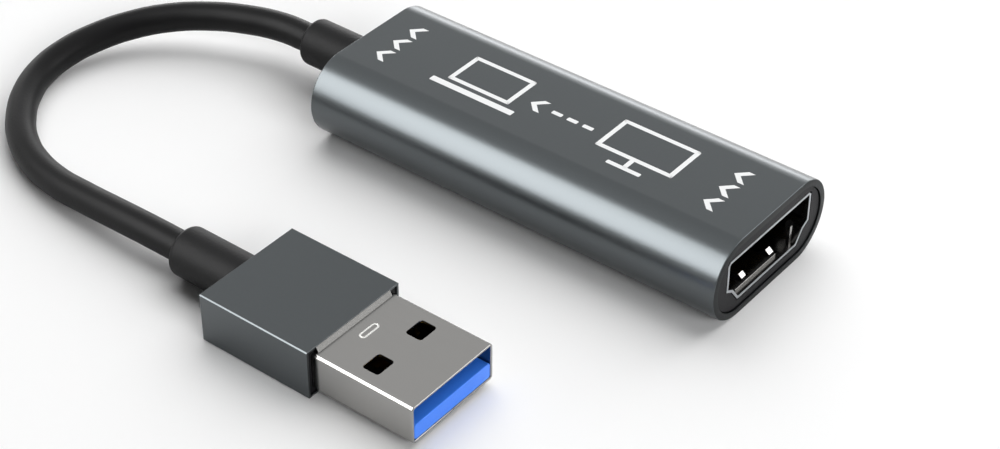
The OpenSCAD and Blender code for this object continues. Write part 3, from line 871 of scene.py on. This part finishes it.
class CAPTUREBOX_OT_casing(bpy.types.Operator):
    """Models the extruded casing with the rails that hold the board"""

    bl_idname = "capture_box.casing"
    bl_label = "Casing"

    def execute(self, context):
        size = sizes()
        low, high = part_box("body_shell")
        piece = stadium_bar(low, high)
        hollow(size.casing_wall)
        self.rails(low, high)
        round_edges(lambda edge: self.rim(edge, low, high), size.casing_rim)
        close_piece(piece, "casing", blasted_anodised_aluminium, "anodised_aluminium", "body_shell")
        # The end faces get the darker aluminium, which is painted shade
        refinish(piece, shaded_end_aluminium, lambda face: abs(face.normal.x) > ALIGNED)
        return {"FINISHED"}

    def outwards(self, at, low, high):
        """The way to a point from the nearest axis of the round sides, or from the plane between them."""
        at = at - (low + high) / 2
        straight = (high.y - low.y - (high.z - low.z)) / 2
        return Vector((0, at.y - max(-straight, min(straight, at.y)), at.z))

    def rim(self, edge, low, high):
        """Whether an edge is one of the outer edges of the casing's two ends."""
        at = middle_of(edge)
        reach = self.outwards(at, low, high).length
        return near(at.x, low.x, high.x) and reach > (high.z - low.z - sizes().casing_wall) / 2

    def rails(self, low, high):
        """Draws two pairs of rails out of the inner wall, over and under the board's edges."""
        middle = (low.z + high.z) / 2
        board_low, board_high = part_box("circuit_board")
        board_half = (board_high.z - board_low.z) / 2
        rail_height = 0.6 * MM
        rail_depth = 1.1 * MM
        ends = (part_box("output_end_cap")[1].x + 2 * FIT_GAP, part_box("input_end_cap")[0].x - 2 * FIT_GAP)

        def inner(face):
            outwards = self.outwards(face.calc_center_median(), low, high)
            return abs(face.normal.x) < ALIGNED and face.normal.dot(outwards) < 0

        def rail(face, side):
            at = face.calc_center_median()
            over_board = abs(at.z - middle) - board_half
            held = 0 < over_board < rail_height and ends[0] < at.x < ends[1]
            return inner(face) and held and side * self.outwards(at, low, high).y > 0

        for end in ends:
            pick("FACE", inner)
            bpy.ops.mesh.bisect(plane_co=(end, 0, 0), plane_no=(1, 0, 0))
        for side in (-1, 1):
            pick("FACE", lambda face: rail(face, side))
            bpy.ops.mesh.extrude_region_move(TRANSFORM_OT_translate={"value": (0, -side * rail_depth, 0)})


class CAPTUREBOX_OT_end_caps(bpy.types.Operator):
    """Models the moulded caps that close the casing's ends"""

    bl_idname = "capture_box.end_caps"
    bl_label = "End caps"

    def execute(self, context):
        size = sizes()
        low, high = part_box("input_end_cap")
        piece = stadium_bar(low, high)
        bpy.ops.object.mode_set(mode="OBJECT")
        cut(piece, socket_bar(FIT_GAP, 2 * (high.x - low.x)))
        self.close("input_cap", piece, high.x, "input_end_cap")
        low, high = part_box("output_end_cap")
        piece = stadium_bar(low, high)
        bpy.ops.object.mode_set(mode="OBJECT")
        hole = start(
            bpy.ops.mesh.primitive_cylinder_add,
            vertices=SLEEVE_SIDES,
            radius=size.boot_neck / 2 + FIT_GAP,
            depth=2 * (high.x - low.x),
            location=(low + high) / 2,
            rotation=(0, math.pi / 2, 0),
        )
        cut(piece, hole)
        self.close("output_cap", piece, low.x, "output_end_cap")
        return {"FINISHED"}

    def close(self, name, piece, face_x, replaced):
        """Rounds the edges of the face that shows."""
        bpy.ops.object.mode_set(mode="EDIT")
        round_edges(lambda edge: sharp(edge) and near(middle_of(edge).x, face_x), sizes().cap_edge)
        bpy.ops.object.mode_set(mode="OBJECT")
        close_piece(piece, name, moulded_abs, "black_plastic", replaced)


class CAPTUREBOX_OT_socket(bpy.types.Operator):
    """Models the video socket's shell, and finishes what it holds"""

    bl_idname = "capture_box.socket"
    bl_label = "Video socket"

    def execute(self, context):
        size = sizes()
        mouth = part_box("video_socket_shell")[1].x
        piece = copy_of("video_socket_shell")
        round_edges(lambda edge: sharp(edge) and near(middle_of(edge).x, mouth), size.sheet_edge, 2)
        bpy.ops.object.mode_set(mode="OBJECT")
        for left, right, height in (SOCKET_BEAD, SPRING_POST):
            cut(piece, self.bead(mouth, left * MM, right * MM, height * MM), "UNION")
        close_piece(piece, "socket_shell", nickel_plate, "nickel_steel", "video_socket_shell")
        lip = mouth - size.sheet_edge
        refinish(piece, dipped_tin, lambda face: face.calc_center_median().x > lip)
        dress(black_polyester, "video_socket_housing", "video_socket_tongue")
        dress(gold_flash, "video_socket_contacts")
        return {"FINISHED"}

    def bead(self, mouth, left, right, height):
        """A bead pressed up from the shell's floor, just behind its mouth."""
        size = sizes()
        front = mouth - size.bead_inset
        floor = socket_centre().z - size.socket_height / 2 + size.sheet
        low = Vector((front - size.bead_width, left, floor - FIT_GAP))
        high = Vector((front, right, floor + height))
        piece = block(low, high)
        round_edges(lambda edge: middle_of(edge).z > high.z - FIT_GAP, size.bead_edge)
        return piece


class CAPTUREBOX_OT_plug_sleeve(bpy.types.Operator):
    """Models the plug's aluminium sleeve, and finishes its moulded core"""

    bl_idname = "capture_box.plug_sleeve"
    bl_label = "Plug sleeve"

    def execute(self, context):
        size = sizes()
        low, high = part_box("plug_grip")
        centre = (low + high) / 2
        half = (high - low) / 2
        piece = block(low, high)
        hollow(size.grip_wall)

        def outer(edge):
            at = middle_of(edge) - centre
            return along(edge, 0) and abs(at.y) > half.y - FIT_GAP and abs(at.z) > half.z - FIT_GAP

        round_edges(outer, size.grip_edge, 1)
        round_edges(lambda edge: sharp(edge) and near(middle_of(edge).x, low.x, high.x), size.sheet_edge, 2)
        close_piece(piece, "plug_sleeve", blasted_anodised_aluminium, "anodised_aluminium", "plug_grip")
        dress(moulded_abs, "plug_core")
        return {"FINISHED"}


class CAPTUREBOX_OT_plug_shell(bpy.types.Operator):
    """Models the plug's folded shell with its lock windows, stamped mark, collar and seam"""

    bl_idname = "capture_box.plug_shell"
    bl_label = "Plug shell"

    def execute(self, context):
        size = sizes()
        low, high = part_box("plug_shell")
        centre = (low + high) / 2
        piece = block(low, high)
        pick("EDGE", lambda edge: along(edge, 0))
        bpy.ops.mesh.bevel(offset=size.plug_corner, segments=6, profile=0.4, affect="EDGES")
        hollow(size.sheet)
        round_edges(lambda edge: sharp(edge) and near(middle_of(edge).x, high.x), size.mouth_edge)
        bpy.ops.object.mode_set(mode="OBJECT")
        grip_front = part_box("plug_grip")[1]
        for side in (-1, 1):
            place = (grip_front.x + size.window_place, centre.y + side * size.window_spread, centre.z)
            self.window(piece, Vector(place), high.z - low.z)
        seam_half = Vector((high.x - low.x, FIT_GAP, size.sheet / 2 + FIT_GAP))
        seam_at = Vector((centre.x, centre.y, low.z + size.sheet / 2))
        cut(piece, block(seam_at - seam_half, seam_at + seam_half))
        soften(piece, size.sheet_edge)
        mark_at = Vector((grip_front.x + size.mark_place, centre.y, high.z))
        mark_half = Vector((size.mark_width / 2, size.mark_length / 2, size.mark_depth))
        self.stamp(piece, mark_at, mark_half)
        self.collar(piece, grip_front, centre.y, high.z)
        close_piece(piece, "plug_shell_can", nickel_plate, "nickel_steel", "plug_shell")
        under_roof = mark_at + Vector((mark_half.x, mark_half.y, -FIT_GAP / 10))
        # The mark's groove gets near-white nickel, a painted highlight
        refinish(piece, etched_nickel_highlight, lambda face: inside(face, mark_at - mark_half, under_roof))
        dress(gold_flash, "plug_power_contacts", "plug_fast_contacts")
        return {"FINISHED"}

    def window(self, piece, at, height):
        """Cuts a lock window through the roof and the floor."""
        size = sizes()
        half = Vector((size.window_length / 2, size.window_width / 2, height))
        cutter = block(at - half, at + half)
        round_edges(lambda edge: along(edge, 2), size.window_corner)
        cut(piece, cutter)

    def stamp(self, piece, at, half):
        """Cuts a shallow flat groove into the roof, round an oblong."""
        cutter = block(at - half, at + half)
        # A rounding just under half the width leaves a short flat, so that no points fall together
        round_edges(lambda edge: along(edge, 2), 0.98 * half.x, 6)
        # The cutter's middle is pushed up past the roof, so that the oblong inside the groove stays
        pick("FACE", lambda face: face.normal.z < -ALIGNED)
        bpy.ops.mesh.inset(thickness=sizes().mark_stroke)
        bpy.ops.mesh.extrude_region_move(TRANSFORM_OT_translate={"value": (0, 0, 1.5 * half.z)})
        cut(piece, cutter)

    def collar(self, piece, grip_front, middle, roof):
        """Raises the steep slope in which the roof meets the grip."""
        size = sizes()
        half = size.collar_width / 2
        low = Vector((grip_front.x, middle - half, roof - 2 * FIT_GAP))
        top = grip_front.z - size.collar_drop
        high = Vector((grip_front.x + size.collar_length, middle + half, top))
        slope = block(low, high)
        pick("VERT", lambda vert: near(vert.co.x, high.x) and near(vert.co.z, high.z))
        bpy.ops.transform.translate(value=(0, 0, roof - FIT_GAP / 5 - high.z))
        cut(piece, slope, "UNION")


class CAPTUREBOX_OT_plug_tongue(bpy.types.Operator):
    """Models the plug's tongue, blue in the mouth and black behind it, where the black is painted shade"""

    bl_idname = "capture_box.plug_tongue"
    bl_label = "Plug tongue"

    def execute(self, context):
        size = sizes()
        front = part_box("plug_tongue")[1].x
        blue_from = front - size.tongue_blue
        piece = copy_of("plug_tongue")
        round_edges(lambda edge: sharp(edge) and near(middle_of(edge).x, front), size.tongue_edge)
        bpy.ops.mesh.select_all(action="SELECT")
        bpy.ops.mesh.bisect(plane_co=(blue_from, 0, 0), plane_no=(1, 0, 0))
        bpy.ops.object.mode_set(mode="OBJECT")
        close_piece(piece, "blue_tongue", blue_polyester, "blue_plastic", "plug_tongue")
        # The tongue's rear gets black plastic as painted shade, so that the lock windows look dark
        refinish(piece, moulded_abs, lambda face: face.calc_center_median().x < blue_from)
        return {"FINISHED"}


class CAPTUREBOX_OT_print(bpy.types.Operator):
    """Prints the way of the signal on the casing's top: from a screen to a computer"""

    bl_idname = "capture_box.print"
    bl_label = "Printed symbols"

    def execute(self, context):
        size = sizes()
        marks = [*self.chevron_rows(), *self.arrow(), *self.screen(), *self.computer()]
        bpy.ops.object.select_all(action="DESELECT")
        for mark in marks:
            mark.select_set(True)
        piece = marks[0]
        context.view_layer.objects.active = piece
        bpy.ops.object.join()
        bpy.ops.object.modifier_add(type="SOLIDIFY")
        piece.modifiers[-1].thickness = size.print_depth
        piece.modifiers[-1].offset = 0
        bpy.ops.object.modifier_apply(modifier=piece.modifiers[-1].name)
        close_piece(piece, "top_print", screen_ink, None)
        return {"FINISHED"}

    def chevron_rows(self):
        """A row of three chevrons at each end of the casing."""
        step = sizes().chevron_step
        return [self.chevron(x * MM, y) for x in CHEVRON_ROWS for y in (-step, 0, step)]

    def arrow(self):
        """Three dashes and a chevron, which point from the screen to the computer."""
        size = sizes()
        head = ARROW_HEAD * MM
        places = [head + count * size.dash_step for count in (3, 2, 1)]
        dashes = [self.dash(x, 0, size.dash_length, size.print_stroke) for x in places]
        return dashes + [self.chevron(head, 0)]

    def screen(self):
        """A screen on a post with a foot."""
        size = sizes()
        x, y = Vector(SCREEN) * MM
        foot_x, foot_y = Vector(SCREEN_FOOT) * MM
        post_y = y - (size.screen_height + size.post_height) / 2
        return [
            self.outline(x, y, size.screen_width, size.screen_height),
            self.dash(x, post_y, size.print_stroke, size.post_height),
            self.dash(foot_x, foot_y, size.foot_width, size.print_stroke),
        ]

    def computer(self):
        """A portable computer's screen over its keyboard."""
        size = sizes()
        x, y = Vector(COMPUTER) * MM
        keyboard_x, keyboard_y = Vector(KEYBOARD) * MM
        return [
            self.outline(x, y, size.computer_width, size.computer_height),
            self.dash(keyboard_x, keyboard_y, size.keyboard_width, size.keyboard_height),
        ]

    def area(self, x, y, width, height):
        """A plane on the casing's top, open in edit mode."""
        at = Vector((x, y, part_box("body_shell")[1].z))
        piece = start(bpy.ops.mesh.primitive_plane_add, size=1, location=at)
        bpy.ops.mesh.select_all(action="SELECT")
        bpy.ops.transform.resize(value=(width, height, 1), center_override=at)
        return piece

    def dash(self, x, y, width, height):
        """A filled bar with its corners eased."""
        piece = self.area(x, y, width, height)
        bpy.ops.mesh.bevel(offset=sizes().print_corner, segments=3, affect="VERTICES")
        bpy.ops.object.mode_set(mode="OBJECT")
        return piece

    def outline(self, x, y, width, height):
        """A frame of one stroke with rounded corners."""
        piece = self.dash(x, y, width, height)
        bpy.ops.object.mode_set(mode="EDIT")
        bpy.ops.mesh.select_all(action="SELECT")
        bpy.ops.mesh.inset(thickness=sizes().print_stroke)
        bpy.ops.mesh.delete(type="FACE")
        bpy.ops.object.mode_set(mode="OBJECT")
        return piece

    def chevron(self, x, y):
        """A stroke that is bent to a point on its left."""
        height = sizes().chevron
        piece = self.area(x, y, math.sqrt(2) * sizes().print_stroke, height)
        bpy.ops.mesh.bisect(plane_co=(0, y, 0), plane_no=(0, 1, 0))
        pick("VERT", lambda vert: near(vert.co.y, y))
        bpy.ops.transform.translate(value=(-height / 2, 0, 0))
        bpy.ops.object.mode_set(mode="OBJECT")
        return piece


class CAPTUREBOX_OT_board(bpy.types.Operator):
    """Finishes the circuit board and the parts on it"""

    bl_idname = "capture_box.board"
    bl_label = "Circuit board"

    def execute(self, context):
        dress(solder_mask, "circuit_board")
        dress(moulded_epoxy, "capture_chip", "memory_chip", "surge_arrays")
        dress(moulded_epoxy, "voltage_regulators", "power_inductor")
        dress(dipped_tin, "memory_chip_leads", "regulator_leads", "crystal")
        dress(fired_ceramic, "chip_capacitors")
        dress(glazed_film, "chip_resistors")
        return {"FINISHED"}


class CAPTUREBOX_OT_wires(bpy.types.Operator):
    """Finishes the wires at both ends of the cable"""

    bl_idname = "capture_box.wires"
    bl_label = "Wires"

    def execute(self, context):
        dress(red_vinyl, "box_power_wires", "plug_power_wires")
        dress(white_vinyl, "box_signal_wires", "plug_signal_wires")
        dress(dipped_tin, "box_drain_wire", "plug_drain_wire", "plug_crimp_ring")
        return {"FINISHED"}


class CAPTUREBOX_PT_sidebar(bpy.types.Panel):
    """Lists the pieces, their sizes and their colours"""

    bl_idname = "CAPTUREBOX_PT_sidebar"
    bl_label = "Capture Box"
    bl_space_type = "VIEW_3D"
    bl_region_type = "UI"
    bl_category = "Capture Box"

    def draw(self, context):
        for operator in OPERATORS:
            self.layout.operator(operator.bl_idname)
        scene = context.scene
        for group in (scene.capture_box_sizes, scene.capture_box_colours, scene.capture_box_studio):
            box = self.layout.box()
            for name in group.__annotations__:
                box.prop(group, name)


GROUPS = {
    "capture_box_sizes": CaptureBoxSizes,
    "capture_box_colours": CaptureBoxColours,
    "capture_box_studio": CaptureBoxStudio,
}
OPERATORS = (
    CAPTUREBOX_OT_stage,
    CAPTUREBOX_OT_cable,
    CAPTUREBOX_OT_strain_reliefs,
    CAPTUREBOX_OT_casing,
    CAPTUREBOX_OT_end_caps,
    CAPTUREBOX_OT_socket,
    CAPTUREBOX_OT_plug_sleeve,
    CAPTUREBOX_OT_plug_shell,
    CAPTUREBOX_OT_plug_tongue,
    CAPTUREBOX_OT_print,
    CAPTUREBOX_OT_board,
    CAPTUREBOX_OT_wires,
)
CLASSES = (*GROUPS.values(), *OPERATORS, CAPTUREBOX_PT_sidebar)


def register():
    for made in CLASSES:
        bpy.utils.register_class(made)
    for name, group in GROUPS.items():
        setattr(bpy.types.Scene, name, PointerProperty(type=group))


def unregister():
    for name in GROUPS:
        delattr(bpy.types.Scene, name)
    for made in reversed(CLASSES):
        bpy.utils.unregister_class(made)


def main():
    register()
    for operator in OPERATORS:
        family, name = operator.bl_idname.split(".")
        getattr(getattr(bpy.ops, family), name)()


if __name__ == "__main__":
    main()
